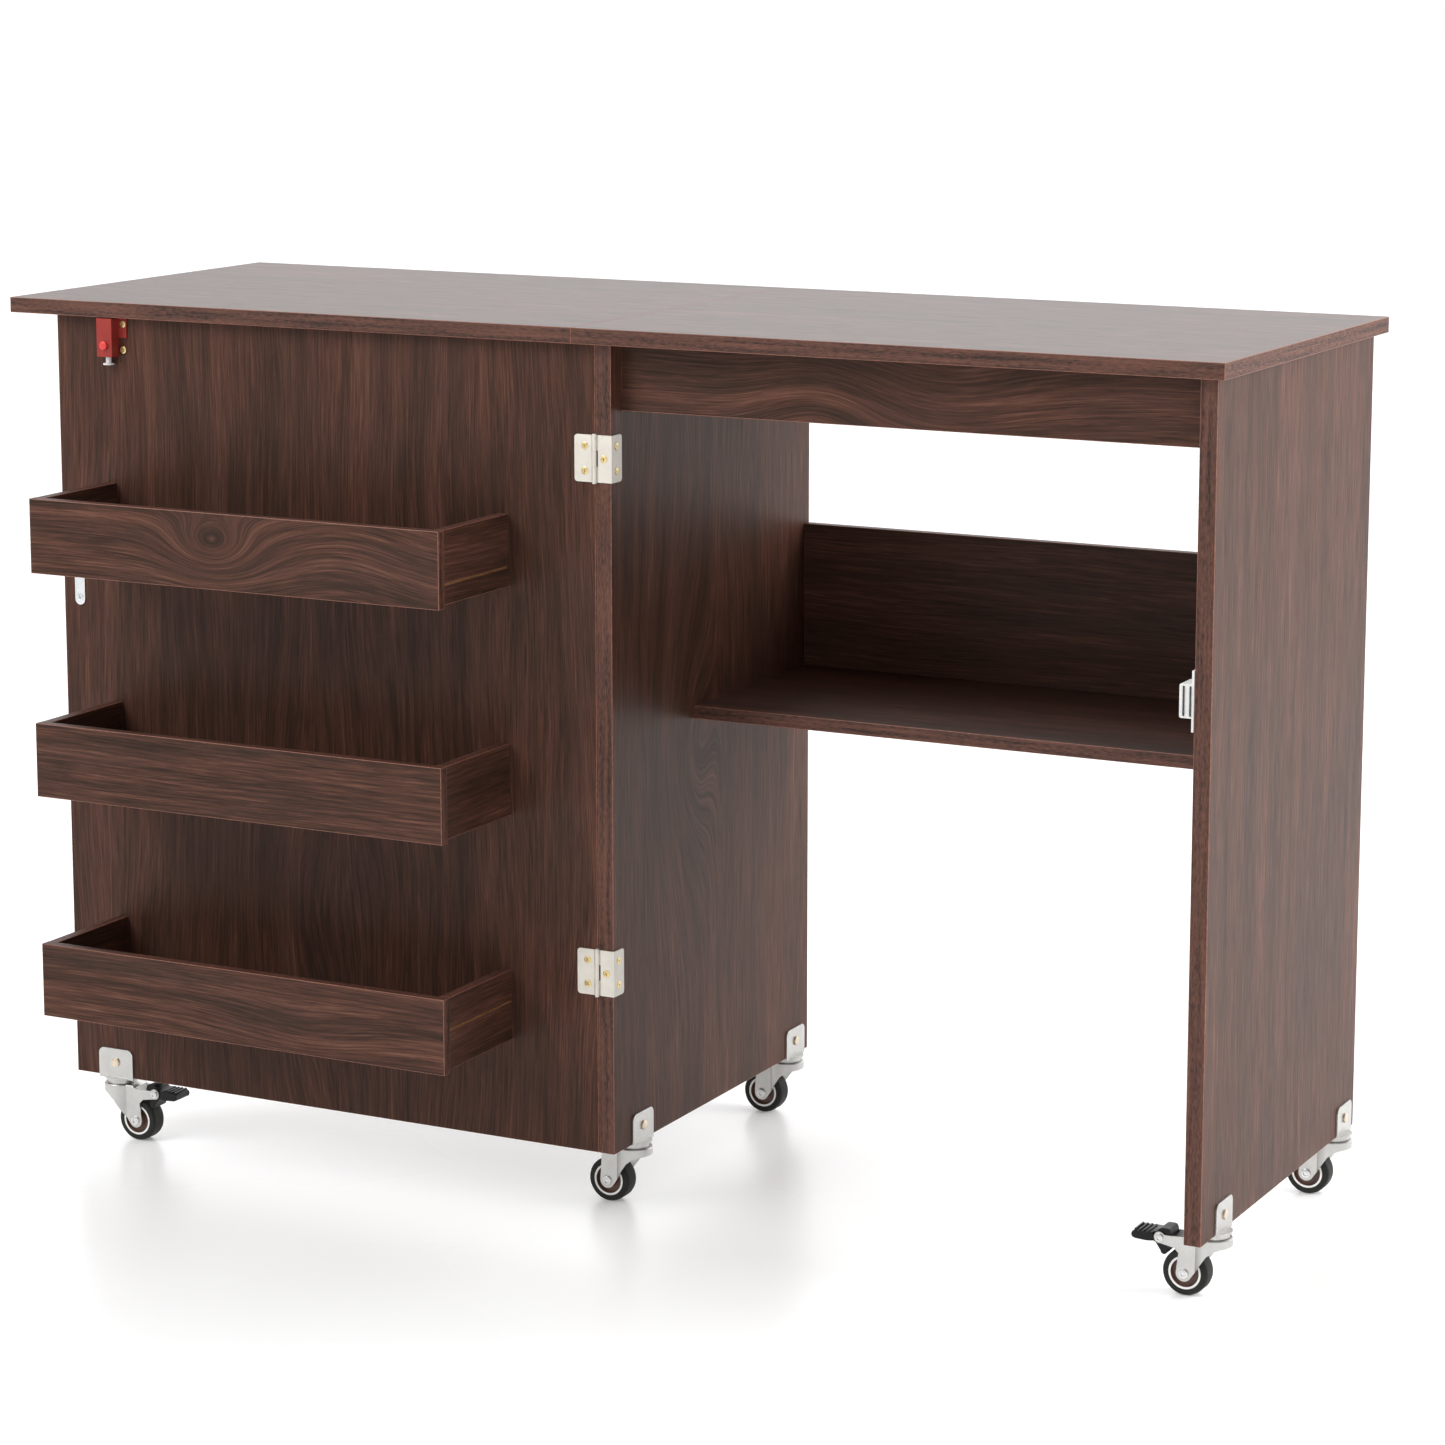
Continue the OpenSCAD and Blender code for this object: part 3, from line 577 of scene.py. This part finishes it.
def hub(node):
    """A brown hub whose rim has a white ring on each side."""
    bm = welded(node, whole=False)
    low, high = box_of(bm)
    middle = (low + high) / 2
    rim = (high.z - low.z) / 2 - HUB_RING
    for face in bm.faces:
        outside = all(math.hypot(*(v.co - middle).xz) > rim for v in face.verts)
        face.material_index = int(outside and abs(face.normal.y) > 0.5)
    name = node + "_fine"
    materials = [MATERIALS["hub_plastic"], MATERIALS["hub_ring"]]
    add_piece(name, finished_mesh(bm, name), node, materials)


for node, (material, width, head) in REFINED.items():
    refined(node, material, width * MM, head)
strike_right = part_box("strike_plate")[1].x
catch_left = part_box("catch_case")[0].x
screws("gate_screws", lambda co: co.x < strike_right)
screws("frame_screws", lambda co: co.x > catch_left)
rounded("catch_case", "white_plastic", is_catch_corner, 1.8 * MM, 0.4 * MM)
caster_plates("frame_caster_plates")
caster_plates("gate_caster_plate")
for number in CASTERS:
    rounded(f"caster_{number}_fork", "caster_steel", is_cap_rim, 1.0 * MM, 0.25 * MM)
    refined(f"caster_{number}_axle", "nickel", 0.3 * MM, riveted)
    hub(f"caster_{number}_hub")
    refined(f"caster_{number}_tyre", "tyre", 0.0)


# ---- Studio ----

def area_light(name, place, target, size, power, shine=True):
    """A softbox. Without shine it lights surfaces but leaves no highlight on them."""
    data = bpy.data.lights.new(name, "AREA")
    data.shape = "RECTANGLE"
    data.size, data.size_y = size
    data.energy = power
    light = bpy.data.objects.new(name, data)
    bpy.context.scene.collection.objects.link(light)
    light.location = place
    light.visible_glossy = shine
    light.rotation_euler = (Vector(target) - Vector(place)).to_track_quat("-Z", "Y").to_euler()


def floor(half_width, glow):
    """A plain white floor. Its faint glow makes it meet the white backdrop."""
    bm = bmesh.new()
    bmesh.ops.create_grid(bm, x_segments=1, y_segments=1, size=half_width)
    mesh = finished_mesh(bm, "floor")
    g = Graph("floor", Specular_IOR_Level=0.35, Emission_Strength=glow)
    soft = g.noise(g.place(), scale=3.0)
    white = g.mix(g.fade(soft, 0.3, 0.7), srgb(250, 250, 250), srgb(252, 252, 252))
    g.to_shader("Base Color", white)
    g.to_shader("Roughness", g.fade(soft, 0.3, 0.7, 0.26, 0.3))
    mesh.materials.append(g.material)
    made = bpy.data.objects.new("floor", mesh)
    bpy.context.scene.collection.objects.link(made)


def studio_world(front, back, white):
    """Soft light from all round, brightest from behind the table, and a white backdrop."""
    world = bpy.data.worlds.new("studio")
    world.use_nodes = True
    nodes, links = world.node_tree.nodes, world.node_tree.links
    way = nodes.new("ShaderNodeSeparateXYZ")
    links.new(nodes.new("ShaderNodeTexCoord").outputs["Generated"], way.inputs[0])
    level = nodes.new("ShaderNodeMapRange")
    level.interpolation_type = "SMOOTHSTEP"
    links.new(way.outputs["Y"], level.inputs[0])
    for socket, value in zip(level.inputs[1:5], (0.2, 0.95, front, back)):
        socket.default_value = value
    fill = nodes["Background"]
    fill.inputs[0].default_value = (1, 1, 1, 1)
    links.new(level.outputs[0], fill.inputs[1])
    backdrop = nodes.new("ShaderNodeBackground")
    backdrop.inputs[0].default_value = (1, 1, 1, 1)
    backdrop.inputs[1].default_value = white
    seen = nodes.new("ShaderNodeLightPath")
    join = nodes.new("ShaderNodeMixShader")
    links.new(seen.outputs["Is Camera Ray"], join.inputs[0])
    links.new(fill.outputs[0], join.inputs[1])
    links.new(backdrop.outputs[0], join.inputs[2])
    links.new(join.outputs[0], nodes["World Output"].inputs[0])
    bpy.context.scene.world = world


floor(half_width=30, glow=0.16)
studio_world(front=0.55, back=1.8, white=1.0)
area_light("key", (-2.2, -3.0, 3.4), (0, 0, 0.4), (2.6, 2.6), 120)
area_light("right_softbox", (3.3, 1.1, 1.6), (0.5, 0.1, 0.5), (2.0, 2.0), 96, shine=False)
bpy.context.scene.view_settings.view_transform = "Standard"


# ---- Camera ----

def camera(place, down, left, lens, shift):
    """down is how many degrees it looks below level, and left how many from +Y towards -X."""
    data = bpy.data.cameras.new("camera")
    data.sensor_width = 36
    data.lens = lens
    data.shift_y = shift
    data.clip_end = 100
    made = bpy.data.objects.new("camera", data)
    bpy.context.scene.collection.objects.link(made)
    made.location = place
    made.rotation_euler = (math.radians(90 - down), 0, math.radians(left))
    bpy.context.scene.camera = made


camera(place=(1.703, -3.17145, 1.1496), down=9.843, left=27.285, lens=101.67, shift=-0.08)
